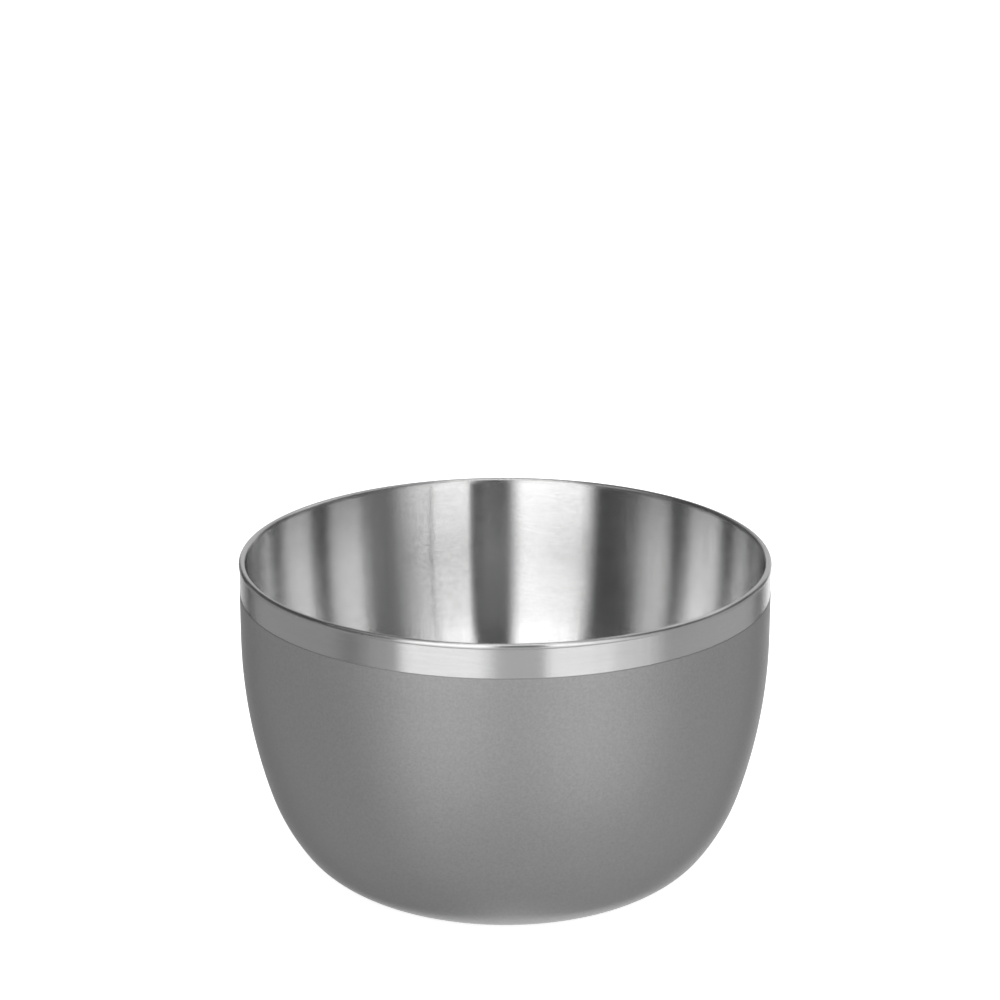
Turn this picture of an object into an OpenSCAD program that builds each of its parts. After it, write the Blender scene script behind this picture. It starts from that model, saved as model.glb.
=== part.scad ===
// Vacuum-walled stainless bowl, open, standing on its foot ring.
// Millimetres. +Z is up, along the bowl's axis. The origin is the centre of the
// foot ring, on the surface that the bowl stands on.
//
// Every wall is turned from one line, the outer face of the outer shell. A piece
// that lies inside or outside that face is the same line moved along its normals.

/* [Rim] */
// Outside diameter of the rounded lip
rim_d = 152; // [144:1:162]
// How far the lip stands out past the outer wall
lip_proud = 0.2; // [0:0.05:0.3]
// Height of the bare steel band, measured from the top of the lip
band_h = 9.4; // [6:0.2:14]

/* [Walls] */
// Sheet thickness of the outer shell
outer_wall = 0.6; // [0.5:0.05:0.8]
// Sheet thickness of the liner
inner_wall = 0.6; // [0.5:0.05:0.8]
// Thickness of the baked powder
coat_t = 0.12; // [0.06:0.02:0.2]
// Height of the powder's lower edge above the surface that the bowl stands on
coat_clear = 0.1; // [0.05:0.05:0.5]

/* [Outer curve] */
// Overall height
bowl_h = 94; // [90:1:110]
// Radius of the long gentle curve of the side
side_r = 150; // [140:1:160]
// Angle that the side's curve turns through
side_angle = 17.7; // [16:0.1:19]
// Radius of the rounder curve below the side
shoulder_r = 57.4; // [50:0.1:62]
// Angle that the shoulder's curve turns through
shoulder_angle = 18.3; // [16:0.1:20]
// Radius of the heel, which turns the wall level with the foot
heel_r = 23.7; // [21:0.1:27]

/* [Vacuum space] */
// Gap between the two walls beside the lip
neck_gap = 0.4; // [0.2:0.1:1]
// Height over which the walls run side by side, from the top of the lip
neck_h = 46; // [40:1:48]
// Height over which the gap opens out to its full width
gap_run = 44; // [38:1:46]
// Full gap between the walls, at the heel and under the floor
vacuum_gap = 8; // [7.4:0.2:10]

/* [Foot and base plate] */
// Width of the flat ring that the bowl stands on
foot_w = 3; // [2:0.5:5]
// Outside radius of the bend from the foot ring up into its collar
foot_bend_r = 1.5; // [1:0.1:2]
// Sheet thickness of the base plate
plate_wall = 0.6; // [0.5:0.05:0.8]
// Height of the base plate's flange, bend included
flange_h = 1.6; // [1.4:0.1:2.4]
// Outside radius of the base plate's bend
plate_bend_r = 1; // [0.9:0.1:1.3]
// Height of the weld bead below the flange
weld_h = 0.7; // [0.5:0.1:1]
// Radius of the pocket round the evacuation hole
pocket_r = 5; // [4.5:0.1:7]
// Depth of the pocket
pocket_h = 1; // [0.9:0.1:1.4]
// Radius of the evacuation hole
evac_hole_r = 1; // [0.6:0.1:1.5]

/* [Base cap] */
// Clearance between the cap's edge and the base plate's bend
cap_clear = 0.5; // [0.3:0.1:2]
// Thickness of the cap
cap_t = 0.5; // [0.3:0.1:0.8]

/* [Seal and getter] */
// Radius of the solder glass on the pocket's ceiling
glass_r = 3.2; // [2.4:0.1:4.2]
// Height of the solder glass below the pocket's ceiling
glass_h = 0.8; // [0.5:0.1:0.9]
// Distance from the foot's collar in to the middle of the getter
getter_inset = 16.8; // [13:0.2:22]
// Radius of the getter pill
getter_r = 4.7; // [4:0.1:6]
// Height of the getter pill
getter_h = 1.9; // [1.4:0.1:2.2]
// Sheet thickness of the getter's holder
holder_wall = 0.3; // [0.2:0.05:0.4]
// How far the holder's crimped lip reaches over the pill
crimp_w = 0.7; // [0.4:0.1:1.2]

/* [Hidden] */
$fn = 180;

steel = [0.78, 0.78, 0.78];
satin_steel = [0.68, 0.68, 0.69];
coat_grey = [0.52, 0.52, 0.52];
solder_glass = [0.25, 0.27, 0.28];
getter_grey = [0.30, 0.30, 0.32];

// Facets along each arc of the wall line
side_steps = 14;
shoulder_steps = 7;
heel_steps = 12;
level_steps = 2;
bend_steps = 6;
bead_steps = 24;

// The lip is a bead as wide as both sheets, the gap between them and its overhang
rim_r = rim_d / 2;
shell_r = rim_r - lip_proud;
mouth_r = shell_r - outer_wall - neck_gap - inner_wall;
bead_r = (rim_r - mouth_r) / 2;
bead_mid_r = (rim_r + mouth_r) / 2;
bead_mid_z = bowl_h - bead_r;
// Angle below level at which the bead's underside meets the outer wall
bead_under = acos((shell_r - bead_mid_r) / bead_r);
// Both sheets end here, and the bead sits on their edges
sheet_top_z = bead_mid_z - bead_r * sin(bead_under);

// Turning angles of the wall below vertical, where one arc hands over to the next
side_turn = side_angle;
shoulder_turn = side_angle + shoulder_angle;
coat_turn = asin(1 - (coat_clear + coat_t) / heel_r);

// Heights and centres of the arcs, built up from the foot
heel_mid_z = heel_r;
shoulder_mid_z = heel_mid_z + (shoulder_r - heel_r) * sin(shoulder_turn);
side_mid_z = shoulder_mid_z + (side_r - shoulder_r) * sin(side_turn);
side_mid = [shell_r - side_r, side_mid_z];
shoulder_mid = side_mid + (side_r - shoulder_r) * toward(-side_turn);
heel_mid = shoulder_mid + (shoulder_r - heel_r) * toward(-shoulder_turn);
foot_r = heel_mid[0];
bend_mid = [foot_r - foot_w, foot_bend_r];
collar_r = foot_r - foot_w - foot_bend_r;

// Base plate, carried by its flange inside the collar
flange_z = foot_bend_r + weld_h;
plate_top_z = flange_z + flange_h;
plate_under_z = plate_top_z - plate_wall;
pocket_top_z = plate_top_z + pocket_h;
pocket_ceiling_z = pocket_top_z - plate_wall;
cap_r = collar_r - plate_bend_r - cap_clear;

getter_x = collar_r - getter_inset;
holder_h = holder_wall + getter_h + holder_wall;

// Unit vector at an angle, in the half plane of radius and height
function toward(a) = [cos(a), sin(a)];

// A stretch of arc as pairs of point and outward normal, without its first point
function arc(mid, r, from, to, steps) =
    [for (i = [1:steps]) let (n = toward(from + (to - from) * i / steps)) [mid + r * n, n]];

// The same as bare points
function arc_points(mid, r, from, to, steps) =
    [for (p = arc(mid, r, from, to, steps)) p[0]];

// A line of pairs moved inwards by d along its normals
function inset(line, d) = [for (p = line) p[0] - d * p[1]];

function reversed(list) = [for (i = [len(list) - 1:-1:0]) list[i]];

// Outer face of the shell, in the stretches that the pieces share
line_top = [[[shell_r, sheet_top_z], [1, 0]]];
line_band = [[[shell_r, bowl_h - band_h], [1, 0]]];
line_side = concat([[[shell_r, side_mid_z], [1, 0]]],
    arc(side_mid, side_r, 0, -side_turn, side_steps),
    arc(shoulder_mid, shoulder_r, -side_turn, -shoulder_turn, shoulder_steps),
    arc(heel_mid, heel_r, -shoulder_turn, -coat_turn, heel_steps));
line_level = arc(heel_mid, heel_r, -coat_turn, -90, level_steps);
line_foot = concat([[bend_mid - [0, foot_bend_r], [0, -1]]],
    arc(bend_mid, foot_bend_r, -90, -180, bend_steps),
    [[[collar_r, plate_top_z], [-1, 0]]]);

// Share of the full gap that is open at a height, rising smoothly from 0 to 1
function open_share(z) =
    let (u = min(max((bowl_h - neck_h - z) / gap_run, 0), 1)) u * u * (3 - 2 * u);

// Distance from the shell's outer face to the liner's outside at a height
function liner_depth(z) = outer_wall + neck_gap + (vacuum_gap - neck_gap) * open_share(z);

// Face of the liner, d inside its outside
function liner_face(d) =
    [for (p = concat(line_top, line_side, line_level)) p[0] - (liner_depth(p[0][1]) + d) * p[1]];

module turned(points) {
    rotate_extrude() polygon(points);
}

// Liner, from the lip down to its flat floor
module inner_bowl() {
    outside = liner_face(0);
    food_side = liner_face(inner_wall);
    color(steel)
        turned(concat(outside, [[0, outer_wall + vacuum_gap]],
            [[0, outer_wall + vacuum_gap + inner_wall]], reversed(food_side)));
}

// Outer wall, foot ring and the collar that holds the base plate
module outer_shell() {
    line = concat(line_top, line_side, line_level, line_foot);
    color(satin_steel)
        turned(concat(inset(line, 0), reversed(inset(line, outer_wall))));
}

// Rounded lip on the edges of both sheets
module rim_bead() {
    color(steel)
        turned(concat(
            [[mouth_r, sheet_top_z], [shell_r, sheet_top_z]],
            arc_points([bead_mid_r, bead_mid_z], bead_r, -bead_under, 180, bead_steps)));
}

// Baked powder, from the band's edge to just above the foot
module powder_coat() {
    line = concat(line_band, line_side);
    color(coat_grey)
        turned(concat(inset(line, -coat_t), reversed(inset(line, 0))));
}

// Pressed disc whose flange fits the collar, with the evacuation hole in its pocket
module base_plate() {
    bend_mid = [collar_r - plate_bend_r, plate_top_z - plate_bend_r];
    color(satin_steel)
        turned(concat(
            [[collar_r - plate_wall, flange_z], [collar_r, flange_z], [collar_r, bend_mid[1]]],
            arc_points(bend_mid, plate_bend_r, 0, 90, bend_steps),
            [[pocket_r + plate_wall, plate_top_z], [pocket_r + plate_wall, pocket_top_z],
             [evac_hole_r, pocket_top_z], [evac_hole_r, pocket_ceiling_z],
             [pocket_r, pocket_ceiling_z], [pocket_r, plate_under_z],
             [bend_mid[0], plate_under_z]],
            arc_points(bend_mid, plate_bend_r - plate_wall, 90, 0, bend_steps)));
}

// Weld bead in the corner between the collar and the edge of the flange
module base_weld() {
    color(steel)
        turned([[collar_r, flange_z], [collar_r - plate_wall, flange_z],
            for (i = [1:bend_steps]) let (a = 90 * i / bend_steps)
                [collar_r - plate_wall * cos(a), flange_z - weld_h * sin(a)]]);
}

// Thin disc bonded under the base plate, its lower edge eased
module base_cap() {
    ease = cap_t / 2;
    color(steel)
        turned(concat([[0, plate_under_z], [0, plate_under_z - cap_t],
            [cap_r - ease, plate_under_z - cap_t]],
            arc_points([cap_r - ease, plate_under_z - cap_t + ease], ease, -90, 0, bend_steps),
            [[cap_r, plate_under_z]]));
}

// Solder glass: a plug in the evacuation hole and a domed button under it
module seal_glass() {
    color(solder_glass)
        turned(concat(
            [[0, pocket_top_z], [evac_hole_r, pocket_top_z], [evac_hole_r, pocket_ceiling_z],
             [glass_r, pocket_ceiling_z]],
            [for (i = [1:bend_steps]) let (a = 90 * i / bend_steps)
                [glass_r * cos(a), pocket_ceiling_z - glass_h * sin(a)]]));
}

// Cup tacked on the base plate, its lip crimped over the pill
module getter_holder() {
    out_r = getter_r + holder_wall;
    lip_r = getter_r - crimp_w;
    color(satin_steel)
        translate([getter_x, 0, plate_top_z])
            turned([[0, 0], [out_r, 0], [out_r, holder_h], [lip_r, holder_h],
                [lip_r, holder_h - holder_wall], [getter_r, holder_h - holder_wall],
                [getter_r, holder_wall], [0, holder_wall]]);
}

// Pressed pill that takes up the last of the gas
module getter() {
    color(getter_grey)
        translate([getter_x, 0, plate_top_z + holder_wall])
            cylinder(r = getter_r, h = getter_h);
}

inner_bowl();
outer_shell();
rim_bead();
powder_coat();
base_plate();
base_weld();
base_cap();
seal_glass();
getter_holder();
getter();
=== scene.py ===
# An open vacuum-walled stainless bowl: two thin steel walls joined at a rounded lip,
# a grey powder coat on the outside, and a bare spun base.
from math import acos, asin, atan2, cos, degrees, hypot, pi, radians, sin

import bpy
import numpy as np
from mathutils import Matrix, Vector


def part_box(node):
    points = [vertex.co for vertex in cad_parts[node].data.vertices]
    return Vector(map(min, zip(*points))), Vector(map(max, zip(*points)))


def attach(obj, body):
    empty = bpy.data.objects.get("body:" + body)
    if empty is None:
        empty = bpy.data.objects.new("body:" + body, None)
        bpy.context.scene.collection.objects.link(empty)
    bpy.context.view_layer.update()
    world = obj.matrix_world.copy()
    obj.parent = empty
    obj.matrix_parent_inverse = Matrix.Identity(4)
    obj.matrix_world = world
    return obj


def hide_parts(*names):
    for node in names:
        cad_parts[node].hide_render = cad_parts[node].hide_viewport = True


MM = 0.001

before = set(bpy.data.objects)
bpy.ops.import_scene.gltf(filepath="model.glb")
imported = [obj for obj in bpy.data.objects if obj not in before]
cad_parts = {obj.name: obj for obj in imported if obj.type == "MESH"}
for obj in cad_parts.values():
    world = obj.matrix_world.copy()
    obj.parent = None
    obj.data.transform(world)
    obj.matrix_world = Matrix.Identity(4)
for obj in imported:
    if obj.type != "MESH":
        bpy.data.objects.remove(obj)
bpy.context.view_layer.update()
bpy.ops.object.select_all(action="DESELECT")

# Camera
# It stands in front of the bowl, a little above it, and looks down through a long lens at
# the inside of the bowl just below the far lip.
LIP_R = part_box("rim_bead")[1].x
LIP_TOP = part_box("rim_bead")[1].z
EYE_DISTANCE = 776.8 * MM
EYE_RISE = radians(18.268)
EYE_PITCH = radians(17.146)
EYE_YAW = radians(-0.115)
LENS = 97.74
SENSOR_WIDTH = 36
CLIP_START = 20 * MM

bpy.ops.object.camera_add(
    location=(0, -EYE_DISTANCE * cos(EYE_RISE), LIP_TOP + EYE_DISTANCE * sin(EYE_RISE)),
    rotation=(pi / 2 - EYE_PITCH, 0, -EYE_YAW),
)
camera = bpy.context.object
camera.data.sensor_width = SENSOR_WIDTH
camera.data.lens = LENS
camera.data.clip_start = CLIP_START
bpy.context.scene.camera = camera

# Outer shell
# The outer wall is drawn from one disc of stainless sheet. It comes down straight, rounds
# in through three blended curves to the foot ring, and turns up there into a short collar.
SHEET = 0.6 * MM
COAT_T = 0.12 * MM
COAT_CLEAR = 0.1 * MM
SHELL_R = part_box("powder_coat")[1].x - COAT_T
SIDE_R, SIDE_TURN = 150 * MM, 17.7
SHOULDER_R, SHOULDER_TURN = 57.4 * MM, 36.0
HEEL_R = 23.7 * MM
FOOT_W = 3 * MM
FOOT_BEND_R = 1.5 * MM
COLLAR_TOP = 3.8 * MM
LIP_BEAD_R = 0.9 * MM
SPIN_STEPS = 256
STRAIGHT_STEPS = 6
SAME_PLACE = 0.001 * MM
SHARP_FROM = radians(32)


def toward(angle):
    """Unit vector at an angle in degrees, in the half plane of radius and height."""
    return np.array([cos(radians(angle)), sin(radians(angle))])


def arc(mid, radius, start, end, steps):
    """A stretch of arc as pairs of point and outward normal, without its first point."""
    turns = [toward(start + (end - start) * i / steps) for i in range(1, steps + 1)]
    return [(mid + radius * turn, turn) for turn in turns]


def inset(line, depth):
    """The points of a line moved inwards along its normals."""
    return [point - depth * normal for point, normal in line]


def arc_points(mid, radius, start, end, steps):
    """Bare points of an arc, its first point included."""
    return [mid + radius * toward(start)] + inset(arc(mid, radius, start, end, steps), 0)


def wall_point(radius, height, normal=(1, 0)):
    """One pair of point and outward normal."""
    return (np.array([radius, height]), np.array(normal, float))


heel_mid_z = HEEL_R
shoulder_mid_z = heel_mid_z + (SHOULDER_R - HEEL_R) * sin(radians(SHOULDER_TURN))
side_mid_z = shoulder_mid_z + (SIDE_R - SHOULDER_R) * sin(radians(SIDE_TURN))
side_mid = np.array([SHELL_R - SIDE_R, side_mid_z])
shoulder_mid = side_mid + (SIDE_R - SHOULDER_R) * toward(-SIDE_TURN)
heel_mid = shoulder_mid + (SHOULDER_R - HEEL_R) * toward(-SHOULDER_TURN)
foot_bend_mid = heel_mid * (1, 0) + (-FOOT_W, FOOT_BEND_R)
COLLAR_R = foot_bend_mid[0] - FOOT_BEND_R

lip_mid = np.array([LIP_R - LIP_BEAD_R, LIP_TOP - LIP_BEAD_R])
LIP_UNDER = degrees(acos((SHELL_R - lip_mid[0]) / LIP_BEAD_R))
SHEET_TOP = lip_mid[1] - LIP_BEAD_R * sin(radians(LIP_UNDER))
COAT_TURN = degrees(asin(1 - (COAT_CLEAR + COAT_T) / HEEL_R))

straight_line = [
    wall_point(SHELL_R, side_mid_z + (SHEET_TOP - side_mid_z) * k / STRAIGHT_STEPS)
    for k in range(STRAIGHT_STEPS, -1, -1)
]
curved_line = (
    arc(side_mid, SIDE_R, 0, -SIDE_TURN, steps=20)
    + arc(shoulder_mid, SHOULDER_R, -SIDE_TURN, -SHOULDER_TURN, steps=10)
    + arc(heel_mid, HEEL_R, -SHOULDER_TURN, -COAT_TURN, steps=20)
)
heel_line = arc(heel_mid, HEEL_R, -COAT_TURN, -90, steps=4)
foot_line = (
    [wall_point(foot_bend_mid[0], 0, (0, -1))]
    + arc(foot_bend_mid, FOOT_BEND_R, -90, -180, steps=8)
    + [wall_point(COLLAR_R, COLLAR_TOP, (-1, 0))]
)


def spun(name, profile, steps=SPIN_STEPS):
    """One vertex, extruded along a closed profile of radius and height, and spun round the axis."""
    bpy.ops.object.select_all(action="DESELECT")
    bpy.ops.mesh.primitive_plane_add(size=MM)
    piece = bpy.context.object
    piece.name = piece.data.name = name
    bpy.ops.object.mode_set(mode="EDIT")
    bpy.ops.mesh.select_mode(type="VERT")
    bpy.ops.mesh.merge(type="CENTER")
    bpy.ops.transform.translate(value=(profile[0][0], 0, profile[0][1]))
    for here, there in zip(profile, profile[1:]):
        step = there - here
        bpy.ops.mesh.extrude_region_move(TRANSFORM_OT_translate={"value": (step[0], 0, step[1])})
    on_axis = profile[0][0] == 0 and profile[-1][0] == 0
    bpy.ops.mesh.select_all(action="SELECT")
    if not on_axis:
        close_profile(piece, len(profile))
    bpy.ops.mesh.spin(steps=steps, angle=2 * pi, center=(0, 0, 0), axis=(0, 0, 1))
    bpy.ops.mesh.select_all(action="SELECT")
    bpy.ops.mesh.remove_doubles(threshold=SAME_PLACE)
    bpy.ops.mesh.normals_make_consistent(inside=False)
    bpy.ops.object.mode_set(mode="OBJECT")
    bpy.ops.object.shade_smooth_by_angle(angle=SHARP_FROM)
    mark_distance(piece, profile)
    return piece


def close_profile(piece, count):
    """Join the profile's last vertex to its first."""
    bpy.ops.object.mode_set(mode="OBJECT")
    for vertex in piece.data.vertices:
        vertex.select = vertex.index in (0, count - 1)
    for edge in piece.data.edges:
        edge.select = False
    bpy.ops.object.mode_set(mode="EDIT")
    bpy.ops.mesh.edge_face_add()
    bpy.ops.mesh.select_all(action="SELECT")


def mark_distance(piece, profile):
    """Attribute "along": each vertex's distance along the profile, in millimetres."""
    line = np.array(profile)
    gone = np.concatenate([[0], np.cumsum(np.hypot(*np.diff(line, axis=0).T))]) / MM
    corners = np.empty(3 * len(piece.data.vertices))
    piece.data.vertices.foreach_get("co", corners)
    x, y, z = corners.reshape(-1, 3).T
    off = (np.hypot(x, y)[:, None] - line[:, 0]) ** 2 + (z[:, None] - line[:, 1]) ** 2
    along = piece.data.attributes.new("along", "FLOAT", "POINT")
    along.data.foreach_set("value", gone[off.argmin(axis=1)])


def new_material(name, colour):
    """A material and its shader, set to one plain colour."""
    material = bpy.data.materials.new(name)
    material.use_nodes = True
    shader = material.node_tree.nodes["Principled BSDF"]
    shader.inputs["Base Color"].default_value = (*colour, 1)
    material.diffuse_color = (*colour, 1)
    return material, shader


def add(tree, kind, values=None, **settings):
    """A node of a kind, with its settings and its inputs given by name or number."""
    node = tree.nodes.new(kind)
    for key, value in settings.items():
        setattr(node, key, value)
    for key, value in (values or {}).items():
        if isinstance(value, bpy.types.NodeSocket):
            tree.links.new(value, node.inputs[key])
        else:
            node.inputs[key].default_value = value
    return node


def math_node(tree, operation, first, second=0.0, **settings):
    """The result of one operation on numbers."""
    values = {0: first, 1: second}
    return add(tree, "ShaderNodeMath", values, operation=operation, **settings).outputs[0]


def vector_node(tree, operation, first, second=(0, 0, 0)):
    """The result of one operation on vectors."""
    values = {0: first, 1: second}
    return add(tree, "ShaderNodeVectorMath", values, operation=operation).outputs[0]


def scaled(tree, vector, factor):
    """A vector or colour times a number."""
    values = {0: vector, "Scale": factor}
    return add(tree, "ShaderNodeVectorMath", values, operation="SCALE").outputs[0]


def spread(tree, value, low, high):
    """A noise value, which lies mostly from 0.3 to 0.7, spread over a range."""
    return add(tree, "ShaderNodeMapRange", {
        "Value": value, "From Min": 0.3, "From Max": 0.7, "To Min": low, "To Max": high,
    }).outputs[0]


def new_group(name, inputs, outputs):
    """A shader node group with its named sockets."""
    group = bpy.data.node_groups.new(name, "ShaderNodeTree")
    for socket, value in inputs.items():
        made = group.interface.new_socket(socket, in_out="INPUT", socket_type="NodeSocketFloat")
        made.default_value = value
    for socket in outputs:
        kind = "NodeSocketVector" if socket == "Normal" else "NodeSocketFloat"
        group.interface.new_socket(socket, in_out="OUTPUT", socket_type=kind)
    given = group.nodes.new("NodeGroupInput").outputs
    put = group.nodes.new("NodeGroupOutput").inputs
    return group, given, put


def spun_grain_group():
    """Marks that run round the axis, as a belt or pad leaves them on a turning bowl.

    Lines are the coarse ones that the eye can tell apart, and Cloud is a slow change of
    shade. Normal is the surface's own, tilted both ways across the finest scratches. Lean
    also tips it up where the steel faces the axis, as scratches do that a pad cuts on its
    way out of the mouth."""
    inputs = {"Lines per mm": 1.5, "Tilt": 1.0, "Lean": 0.0}
    group, given, put = new_group("spun_grain", inputs, ["Lines", "Cloud", "Normal"])
    place = add(group, "ShaderNodeTexCoord").outputs["Object"]
    around = vector_node(group, "NORMALIZE", vector_node(group, "MULTIPLY", place, (1, 1, 0)))
    split = add(group, "ShaderNodeSeparateXYZ", {0: around}).outputs
    along = add(group, "ShaderNodeAttribute", attribute_name="along").outputs["Fac"]

    def marks(per_turn, per_mm, detail):
        at = add(group, "ShaderNodeCombineXYZ", {
            0: math_node(group, "MULTIPLY", split[0], per_turn),
            1: math_node(group, "MULTIPLY", split[1], per_turn),
            2: math_node(group, "MULTIPLY", along, per_mm),
        }).outputs[0]
        values = {"Vector": at, "Scale": 1.0, "Detail": detail, "Roughness": 0.6}
        return add(group, "ShaderNodeTexNoise", values).outputs["Fac"]

    lines = marks(per_turn=6.0, per_mm=given["Lines per mm"], detail=3.0)
    cloud = marks(per_turn=2.0, per_mm=0.06, detail=2.0)
    scratches = marks(per_turn=60.0, per_mm=200.0, detail=1.0)
    group.links.new(lines, put["Lines"])
    group.links.new(cloud, put["Cloud"])

    normal = add(group, "ShaderNodeNewGeometry").outputs["Normal"]
    level_across = vector_node(group, "CROSS_PRODUCT", (0, 0, 1), around)
    across = vector_node(group, "CROSS_PRODUCT", normal, level_across)
    off_middle = math_node(group, "SUBTRACT", scratches, 0.5)
    swing = math_node(group, "MULTIPLY", off_middle, given["Tilt"])
    tilt = scaled(group, across, swing)
    outward = add(group, "ShaderNodeVectorMath", {0: normal, 1: around}, operation="DOT_PRODUCT")
    inward = math_node(group, "MULTIPLY", outward.outputs["Value"], -1.0, use_clamp=True)
    upward = math_node(group, "MULTIPLY", inward, given["Lean"])
    lean = add(group, "ShaderNodeCombineXYZ", {2: upward}).outputs[0]
    tipped = vector_node(group, "ADD", vector_node(group, "ADD", normal, tilt), lean)
    group.links.new(vector_node(group, "NORMALIZE", tipped), put["Normal"])
    return group


spun_grain = spun_grain_group()
SHADE_SPREAD = 0.025
ROUGHNESS_SPREAD = 0.06
QUARTER_TURN = 0.25


def brushed_steel(name, colour, roughness, tilt, lines_per_mm, lean=0.0):
    """Stainless steel with a grain round the axis, which draws every reflection out across it."""
    material, shader = new_material(name, colour)
    tree = material.node_tree
    grain = add(tree, "ShaderNodeGroup", node_tree=spun_grain)
    grain.inputs["Lines per mm"].default_value = lines_per_mm
    grain.inputs["Tilt"].default_value = tilt
    grain.inputs["Lean"].default_value = lean
    line_shade = spread(tree, grain.outputs["Lines"], 1 - SHADE_SPREAD, 1 + SHADE_SPREAD)
    cloud_shade = spread(tree, grain.outputs["Cloud"], 1 - SHADE_SPREAD, 1 + SHADE_SPREAD)
    shade = math_node(tree, "MULTIPLY", line_shade, cloud_shade)
    tree.links.new(scaled(tree, colour, shade), shader.inputs["Base Color"])
    smoothest, roughest = roughness * (1 - ROUGHNESS_SPREAD), roughness * (1 + ROUGHNESS_SPREAD)
    rough = spread(tree, grain.outputs["Lines"], smoothest, roughest)
    tree.links.new(rough, shader.inputs["Roughness"])
    shader.inputs["Metallic"].default_value = 1
    shader.inputs["Anisotropic"].default_value = 1.0
    shader.inputs["Anisotropic Rotation"].default_value = QUARTER_TURN
    tangent = add(tree, "ShaderNodeTangent", direction_type="RADIAL", axis="Z").outputs[0]
    tree.links.new(tangent, shader.inputs["Tangent"])
    tree.links.new(grain.outputs["Normal"], shader.inputs["Normal"])
    return material


def finish_piece(piece, material, slot, *nodes):
    """Give a piece its material and its place on the frame."""
    piece.data.materials.append(material)
    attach(piece, "root")
    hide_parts(*nodes)


shell_line = straight_line + curved_line + heel_line + foot_line
outer_wall = spun("outer_wall", inset(shell_line, 0) + inset(shell_line, SHEET)[::-1])
shell_steel = brushed_steel(
    "brushed_shell_steel", (0.7, 0.7, 0.7), roughness=0.21, tilt=1.0, lines_per_mm=1.5,
)
finish_piece(outer_wall, shell_steel, "brushed_shell", "outer_shell")

# Liner
# The inner wall is a second drawn bowl. It runs close beside the outer wall at the neck,
# then curves in to leave the vacuum space, and ends in a flat floor. It is brushed inside.
NECK_GAP = 0.4 * MM
NECK_H = 46 * MM
GAP_RUN = 44 * MM
VACUUM_GAP = 8 * MM


def open_share(height):
    """Share of the full vacuum gap that is open at a height."""
    run = min(max((LIP_TOP - NECK_H - height) / GAP_RUN, 0), 1)
    return run * run * (3 - 2 * run)


def liner_face(depth):
    """Points down the liner's wall, this deep below its outer face."""
    line = straight_line + curved_line + heel_line
    gaps = [NECK_GAP + (VACUUM_GAP - NECK_GAP) * open_share(point[1]) for point, _ in line]
    return [point - (SHEET + gap + depth) * normal for (point, normal), gap in zip(line, gaps)]


def floor_rings(edge):
    """Points across a flat floor, from its edge to the middle."""
    return [edge * (share, 1) for share in (0.8, 0.6, 0.4, 0.2, 0.05, 0)]


food_side = liner_face(SHEET)
outside = liner_face(0)
food_side += floor_rings(food_side[-1])
outside += floor_rings(outside[-1])
liner = spun("liner", food_side + outside[::-1])
liner_steel = brushed_steel(
    "brushed_liner_steel", (0.75, 0.75, 0.75),
    roughness=0.16, tilt=1.3, lines_per_mm=1.2, lean=0.22,
)
finish_piece(liner, liner_steel, "brushed_liner", "inner_bowl")

# Lip
# The edges of both walls are welded together, and the bead is ground round and polished.
# It stands a little proud of the outer wall and lies flush with the liner.
lip_profile = (
    [np.array([lip_mid[0] - LIP_BEAD_R, SHEET_TOP]), np.array([SHELL_R, SHEET_TOP])]
    + arc_points(lip_mid, LIP_BEAD_R, -LIP_UNDER, 180, steps=28)[1:]
)
lip = spun("lip", lip_profile)
lip_steel = brushed_steel(
    "polished_lip_steel", (0.7, 0.7, 0.7), roughness=0.26, tilt=0.7, lines_per_mm=2.0, lean=0.3,
)
finish_piece(lip, lip_steel, "polished_lip", "rim_bead")

# Powder coat
# Grey powder is sprayed on the outer wall below a masked band, down to just short of the
# foot, and baked. It sets with a fine orange peel and a rounded edge at the mask. Along that
# edge its colour is darkened, a painted shade line where the coat meets the band.
BAND_H = 9.4 * MM
COAT_RING = 6 * MM
COAT_GREY = (0.335, 0.335, 0.335)
PEEL_DEPTH = 0.02 * MM
GRIT_SHARE = 0.35
FLECK_SPREAD = 0.07
CLOUD_SPREAD = 0.02
POWDER_ROUGHNESS = (0.33, 0.45)
# The painted shade line: how far down from the mask's edge it stays darkest, where it ends, and how
# dark it is.
PAINTED_SHADE_TO = 0.25 * MM
FULL_FROM = 0.4 * MM
PAINTED_SHADE_LEVEL = 0.82

coat_top = LIP_TOP - BAND_H
coat_line = [
    wall_point(SHELL_R, coat_top),
    wall_point(SHELL_R, side_mid_z + COAT_RING),
    wall_point(SHELL_R, side_mid_z),
] + curved_line
mask_edge = arc_points(np.array([SHELL_R, coat_top - COAT_T]), COAT_T, 90, 0, steps=5)
coat = spun("coat", mask_edge + inset(coat_line[1:], -COAT_T) + inset(coat_line, 0)[:0:-1])


def orange_peel_group():
    """The swell, grit, flecks and clouds of baked powder, each at its own scale."""
    group, _, put = new_group("orange_peel", {}, ["Swell", "Grit", "Fleck", "Cloud"])
    place = add(group, "ShaderNodeTexCoord").outputs["Object"]
    for name, per_metre, detail in (
        ("Swell", 700, 1.0),
        ("Grit", 2600, 2.0),
        ("Fleck", 1500, 3.0),
        ("Cloud", 18, 2.0),
    ):
        values = {"Vector": place, "Scale": per_metre, "Detail": detail}
        noise = add(group, "ShaderNodeTexNoise", values)
        group.links.new(noise.outputs["Fac"], put[name])
    return group


orange_peel = orange_peel_group()


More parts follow.
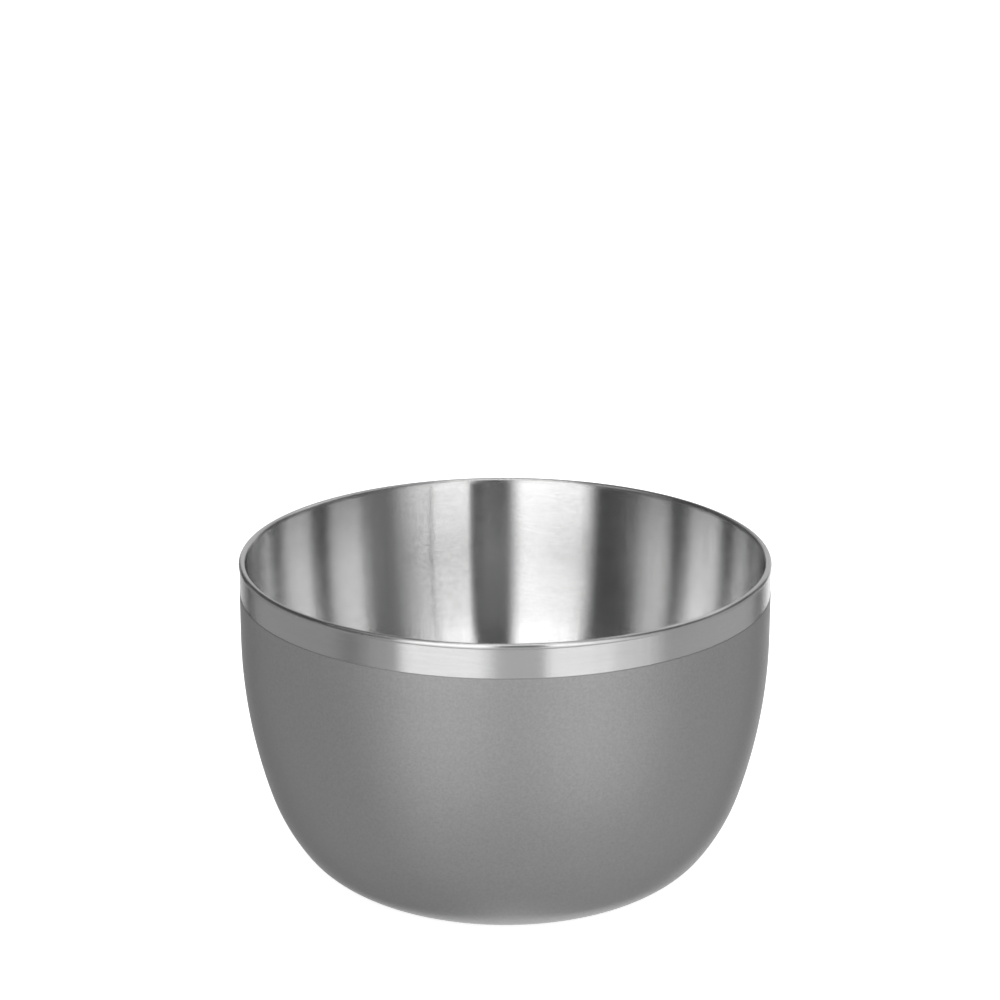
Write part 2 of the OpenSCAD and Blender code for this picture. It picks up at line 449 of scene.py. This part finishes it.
def powder(name, colour):
    """Matte baked powder full of metal flakes, with a painted shade line along its masked edge."""
    material, shader = new_material(name, colour)
    tree = material.node_tree
    peel = add(tree, "ShaderNodeGroup", node_tree=orange_peel)
    fleck = spread(tree, peel.outputs["Fleck"], 1 - FLECK_SPREAD, 1 + FLECK_SPREAD)
    cloud = spread(tree, peel.outputs["Cloud"], 1 - CLOUD_SPREAD, 1 + CLOUD_SPREAD)
    along = add(tree, "ShaderNodeAttribute", attribute_name="along").outputs["Fac"]
    # Painted shade: the colour darkens near the mask's edge, where the coat meets the band.
    painted_shade_line = add(tree, "ShaderNodeMapRange", {
        "Value": along, "From Min": PAINTED_SHADE_TO / MM, "From Max": FULL_FROM / MM,
        "To Min": PAINTED_SHADE_LEVEL, "To Max": 1.0,
    }).outputs[0]
    shade = math_node(tree, "MULTIPLY", math_node(tree, "MULTIPLY", fleck, cloud), painted_shade_line)
    tree.links.new(scaled(tree, colour, shade), shader.inputs["Base Color"])
    rough = spread(tree, peel.outputs["Grit"], *POWDER_ROUGHNESS)
    tree.links.new(rough, shader.inputs["Roughness"])
    shader.inputs["Metallic"].default_value = 0.7
    shader.inputs["Specular IOR Level"].default_value = 1.0
    height = math_node(tree, "MULTIPLY_ADD", peel.outputs["Grit"], GRIT_SHARE)
    tree.links.new(peel.outputs["Swell"], height.node.inputs[2])
    bump = add(tree, "ShaderNodeBump", {"Height": height, "Strength": 1.0, "Distance": PEEL_DEPTH})
    tree.links.new(bump.outputs[0], shader.inputs["Normal"])
    return material


finish_piece(coat, powder("grey_powder", COAT_GREY), "grey_powder", "powder_coat")

# Base plate
# A pressed disc closes the outer wall from below. Its flange stands in the collar and is
# welded to it all round, and its middle is pressed up into a pocket round the seal.
PLATE_BEND_R = 1 * MM
PLATE_TOP = COLLAR_TOP
FLANGE_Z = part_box("base_plate")[0].z
POCKET_R = 5 * MM
POCKET_H = 1 * MM
HOLE_R = 1 * MM

plate_mid = np.array([COLLAR_R - PLATE_BEND_R, PLATE_TOP - PLATE_BEND_R])
pocket_top = PLATE_TOP + POCKET_H
plate_profile = (
    [np.array([COLLAR_R - SHEET, FLANGE_Z]), np.array([COLLAR_R, FLANGE_Z])]
    + arc_points(plate_mid, PLATE_BEND_R, 0, 90, steps=8)
    + [np.array([POCKET_R + SHEET, PLATE_TOP]), np.array([POCKET_R + SHEET, pocket_top])]
    + [np.array([HOLE_R, pocket_top]), np.array([HOLE_R, pocket_top - SHEET])]
    + [np.array([POCKET_R, pocket_top - SHEET]), np.array([POCKET_R, PLATE_TOP - SHEET])]
    + arc_points(plate_mid, PLATE_BEND_R - SHEET, 90, 0, steps=8)
)
plate = spun("pressed_base", plate_profile)
plate_steel = brushed_steel(
    "pressed_base_steel", (0.6, 0.6, 0.6), roughness=0.4, tilt=0.5, lines_per_mm=1.0,
)
finish_piece(plate, plate_steel, "pressed_base", "base_plate")

# Base weld
# A narrow bead of weld fills the corner between the collar and the flange's edge. It is
# laid as overlapping puddles, so its face is rippled all the way round.
WELD_H = 0.7 * MM
WELD_STEPS = 1024
PUDDLE_STEPS = 4
RIPPLE = 0.07 * MM
FACE_MARGIN = 0.01 * MM

weld_profile = [np.array([COLLAR_R, FLANGE_Z]), np.array([COLLAR_R - SHEET, FLANGE_Z])] + [
    np.array([COLLAR_R - SHEET * cos(turn), FLANGE_Z - WELD_H * sin(turn)])
    for turn in np.linspace(0, pi / 2, 7)[1:]
]
weld = spun("base_weld_bead", weld_profile, WELD_STEPS)


def between_puddles(place):
    """Whether a point lies on the bead's free face, in the crease where two puddles meet."""
    step = round(atan2(place.y, place.x) / (2 * pi) * WELD_STEPS)
    free = hypot(place.x, place.y) < COLLAR_R - FACE_MARGIN and place.z < FLANGE_Z - FACE_MARGIN
    return free and step % PUDDLE_STEPS == 0


for part in (weld.data.vertices, weld.data.edges, weld.data.polygons):
    part.foreach_set("select", [False] * len(part))
for vertex in weld.data.vertices:
    vertex.select = between_puddles(vertex.co)
bpy.ops.object.mode_set(mode="EDIT")
bpy.ops.transform.shrink_fatten(value=-RIPPLE)
bpy.ops.object.mode_set(mode="OBJECT")
weld_steel = brushed_steel(
    "weld_steel", (0.5, 0.49, 0.47), roughness=0.35, tilt=0.3, lines_per_mm=1.0,
)
finish_piece(weld, weld_steel, "weld_bead", "base_weld")

# Base cap
# A thin stainless disc is bonded under the base plate and hides the seal. It is brushed
# on a turntable, so its grain runs in rings.
CAP_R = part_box("base_cap")[1].x
CAP_T = 0.5 * MM
CAP_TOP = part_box("base_cap")[1].z

cap_under = CAP_TOP - CAP_T
cap_mid = np.array([CAP_R - CAP_T / 2, CAP_TOP - CAP_T / 2])
cap_profile = (
    [np.array([(CAP_R - CAP_T / 2) * share, cap_under]) for share in (0, 0.05, 0.25, 0.5, 0.75)]
    + arc_points(cap_mid, CAP_T / 2, -90, 0, steps=6)
    + [np.array([CAP_R, CAP_TOP]), np.array([0, CAP_TOP])]
)
cap = spun("spun_cap", cap_profile)
cap_steel = brushed_steel(
    "brushed_cap_steel", (0.66, 0.66, 0.66), roughness=0.28, tilt=1.0, lines_per_mm=1.5,
)
finish_piece(cap, cap_steel, "brushed_cap", "base_cap")

# Seal and getter
# These are out of sight: a bead of fused solder glass in the evacuation hole, and on top of
# the base plate a dull pressed pill in a small sheet holder. They keep their solids and only
# get a finish.
PIT_DEPTH = 0.02 * MM
MOTTLE_SPREAD = 0.2


def dull(name, colour, roughness, metallic, per_metre):
    """A small hidden part's finish, mottled at its own scale."""
    material, shader = new_material(name, colour)
    tree = material.node_tree
    place = add(tree, "ShaderNodeTexCoord").outputs["Object"]
    noise = add(tree, "ShaderNodeTexNoise", {"Vector": place, "Scale": per_metre, "Detail": 3.0})
    mottle = noise.outputs["Fac"]
    shades = {"Value": mottle, "To Min": 1 - MOTTLE_SPREAD, "To Max": 1 + MOTTLE_SPREAD}
    shade = add(tree, "ShaderNodeMapRange", shades).outputs[0]
    tree.links.new(scaled(tree, colour, shade), shader.inputs["Base Color"])
    shader.inputs["Roughness"].default_value = roughness
    shader.inputs["Metallic"].default_value = metallic
    bump = add(tree, "ShaderNodeBump", {"Height": mottle, "Distance": PIT_DEPTH}).outputs[0]
    tree.links.new(bump, shader.inputs["Normal"])
    return material


hidden_finishes = {
    "seal_glass": dull(
        "fused_glass", (0.08, 0.09, 0.1), roughness=0.12, metallic=0, per_metre=900,
    ),
    "getter_holder": dull(
        "holder_sheet_steel", (0.55, 0.55, 0.55), roughness=0.35, metallic=1, per_metre=1200,
    ),
    "getter": dull(
        "pressed_getter", (0.12, 0.12, 0.13), roughness=0.9, metallic=0, per_metre=3000,
    ),
}
for node, finish in hidden_finishes.items():
    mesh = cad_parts[node].data
    mesh.materials.clear()
    mesh.materials.append(finish)

# Floor
# A pale, even floor that keeps the bowl's soft shadow. A glow that only the camera sees
# makes it white. It lies a hair below the foot ring, so that their faces don't coincide.
FLOOR_SIZE = 8
FLOOR_DROP = 0.05 * MM
FLOOR_GLOW = 0.8

bpy.ops.object.select_all(action="DESELECT")
bpy.ops.mesh.primitive_plane_add(size=FLOOR_SIZE, location=(0, 0, -FLOOR_DROP))
floor = bpy.context.object
floor.name = "studio_floor"
floor_paint, floor_shader = new_material("floor_paint", (0.6, 0.6, 0.6))
floor_shader.inputs["Roughness"].default_value = 0.9
floor_shader.inputs["Specular IOR Level"].default_value = 0.0
floor_shader.inputs["Emission Color"].default_value = (1, 1, 1, 1)
seen = add(floor_paint.node_tree, "ShaderNodeLightPath").outputs["Is Camera Ray"]
floor_glow = math_node(floor_paint.node_tree, "MULTIPLY", seen, FLOOR_GLOW)
floor_paint.node_tree.links.new(floor_glow, floor_shader.inputs["Emission Strength"])
floor.data.materials.append(floor_paint)
floor.visible_glossy = False

# Studio light
# The camera sees white all round. Dull surfaces get an even level. Gloss sees the dim room
# with its bright back wall, its ceiling, and pale panels in the floor's place.
AMBIENT = 0.75
ROOM_LEVEL = 0.075
EDGE_RISE = 6

# Each panel of the room: bearing of its left and right edges, in degrees from the front and
# positive to the right, how softly each edge fades, its lowest and highest angle, its level.
# The top and bottom of every panel fade over EDGE_RISE degrees.
PANELS = (
    (110, 10, 165, 10, 35, 75, 0.8),
    (-110, 10, -50, 10, 45, 75, 0.5),
    (142, 6, 200, 6, 0, 35, 0.5),
    (-200, 9, 200, 9, 75, 95, 1.8),
    (-45, 4, 68, 12, -95, 0, 0.36),
    (-45, 4, 68, 12, -41, 0, 0.2),
    (-45, 4, -8, 14, -41, 0, 0.46),
    (16.5, 2, 68, 12, -41, 0, 0.22),
    (16.5, 2, 47, 3, -41, 0, 0.2),
    (-63, 16, -45, 4, -95, 0, 0.4),
    (-137.5, 5, -68, 30, -95, 0, 0.28),
    (68, 12, 135.5, 10, -95, 0, 0.38),
    (145.5, 8, 212, 4, -95, 0, 0.35),
    (153.5, 18, 196, 20, -95, 0, 0.75),
)


def rise_over(tree, value, edge, width):
    """Smooth step from 0 to 1 as a value passes an edge, or down to 0 for a negative width."""
    return add(tree, "ShaderNodeMapRange", {
        "Value": value, "From Min": edge - width / 2, "From Max": edge + width / 2,
    }, interpolation_type="SMOOTHSTEP").outputs[0]


def between(tree, value, low, low_soft, high, high_soft):
    """1 between two soft edges and 0 outside them."""
    return math_node(tree, "MULTIPLY", rise_over(tree, value, low, low_soft),
                     rise_over(tree, value, high, -high_soft))


def either(tree, factor, first, second):
    """The first number where the factor is 0, and the second where it is 1."""
    values = {"Factor": factor, 2: first, 3: second}
    return add(tree, "ShaderNodeMix", values, data_type="FLOAT").outputs[0]


world = bpy.data.worlds.new("studio")
bpy.context.scene.world = world
world.use_nodes = True
world.cycles.sampling_method = "NONE"
sky = world.node_tree
sky.nodes.clear()
path = add(sky, "ShaderNodeLightPath").outputs
direction = add(sky, "ShaderNodeTexCoord").outputs["Generated"]
split = add(sky, "ShaderNodeSeparateXYZ", {0: direction}).outputs
minus_y = math_node(sky, "MULTIPLY", split[1], -1.0)
bearing = math_node(sky, "DEGREES", math_node(sky, "ARCTAN2", split[0], minus_y))
rise = math_node(sky, "DEGREES", math_node(sky, "ARCSINE", split[2]))

studio_level = ROOM_LEVEL
for left, left_soft, right, right_soft, low, high, strength in PANELS:
    middle = (left + right) / 2
    off = add(sky, "ShaderNodeMath", {
        0: math_node(sky, "SUBTRACT", bearing, middle), 1: 180.0, 2: -180.0,
    }, operation="WRAP").outputs[0]
    sides = between(sky, off, left - middle, left_soft, right - middle, right_soft)
    ends = between(sky, rise, low, EDGE_RISE, high, EDGE_RISE)
    panel = math_node(sky, "MULTIPLY", math_node(sky, "MULTIPLY", sides, ends), strength)
    studio_level = math_node(sky, "ADD", studio_level, panel)

glossy = math_node(sky, "MAXIMUM", path["Is Glossy Ray"], path["Is Transmission Ray"])
for_surfaces = either(sky, glossy, AMBIENT, studio_level)
for_all = either(sky, path["Is Camera Ray"], for_surfaces, 1.0)
background = add(sky, "ShaderNodeBackground", {"Color": (1, 1, 1, 1), "Strength": for_all})
add(sky, "ShaderNodeOutputWorld", {"Surface": background.outputs[0]})

# Soft boxes
# Two boxes hang side by side on one sheet in front of the bowl, so near that their streaks
# lean a little as they run down the inside. Only gloss sees them.
BOX_DISTANCE = 0.6
BOX_TOP = 1.05
BOX_MID_X = 0.45
BOX_WIDTH = 2.4

# Each glow of the soft boxes: its left and right edges on their sheet, in metres, how wide
# each edge fades, its level
GLOWS = (
    (-0.54, 0.2, -0.05, 0.1, 1.75),
    (0.188, 0.012, 0.43, 0.015, 1.6),
    (0.445, 0.015, 0.69, 0.52, 1.25),
    (0.68, 0.2, 1.5, 0.3, 0.14),
)

bpy.ops.object.select_all(action="DESELECT")
bpy.ops.mesh.primitive_plane_add(
    size=1, location=(BOX_MID_X, -BOX_DISTANCE, (LIP_TOP + BOX_TOP) / 2), rotation=(pi / 2, 0, 0),
)
bpy.ops.transform.resize(value=(BOX_WIDTH, 1, BOX_TOP - LIP_TOP))
soft_boxes = bpy.context.object
soft_boxes.name = "soft_boxes"
box_glow, box_shader = new_material("soft_box_glow", (0, 0, 0))
box_glow.cycles.emission_sampling = "NONE"
box_tree = box_glow.node_tree
sheet_place = add(box_tree, "ShaderNodeNewGeometry").outputs["Position"]
sheet_x = add(box_tree, "ShaderNodeSeparateXYZ", {0: sheet_place}).outputs[0]
box_level = ROOM_LEVEL
for left, left_soft, right, right_soft, strength in GLOWS:
    inside = between(box_tree, sheet_x, left, left_soft, right, right_soft)
    glow = math_node(box_tree, "MULTIPLY", inside, strength)
    box_level = math_node(box_tree, "ADD", box_level, glow)
box_tree.links.new(box_level, box_shader.inputs["Emission Strength"])
box_shader.inputs["Emission Color"].default_value = (1, 1, 1, 1)
box_shader.inputs["Specular IOR Level"].default_value = 0.0
soft_boxes.data.materials.append(box_glow)
soft_boxes.visible_camera = False
soft_boxes.visible_diffuse = False
soft_boxes.visible_shadow = False

# Lamps
# One square lamp hangs above the bowl and one stands behind the camera. They give the coat
# its form and the bowl its soft shadow.


def soft_lamp(name, place, size, power):
    """A square lamp that faces the bowl's middle and that gloss doesn't see."""
    aim = Vector((0, 0, LIP_TOP / 2)) - Vector(place)
    turn = aim.to_track_quat("-Z", "Y").to_euler()
    bpy.ops.object.light_add(type="AREA", location=place, rotation=turn)
    lamp = bpy.context.object
    lamp.name = name
    lamp.data.size = size
    lamp.data.energy = power
    lamp.visible_glossy = False


for name, place, size, power in (
    ("top_lamp", (0, -0.3, 1.5), 0.6, 8),
    ("front_lamp", (0.1, -1.4, 0.7), 0.5, 10),
):
    soft_lamp(name, place, size, power)

# Colours
# The picture shows plain colours, with no film curve.
bpy.context.scene.view_settings.view_transform = "Standard"
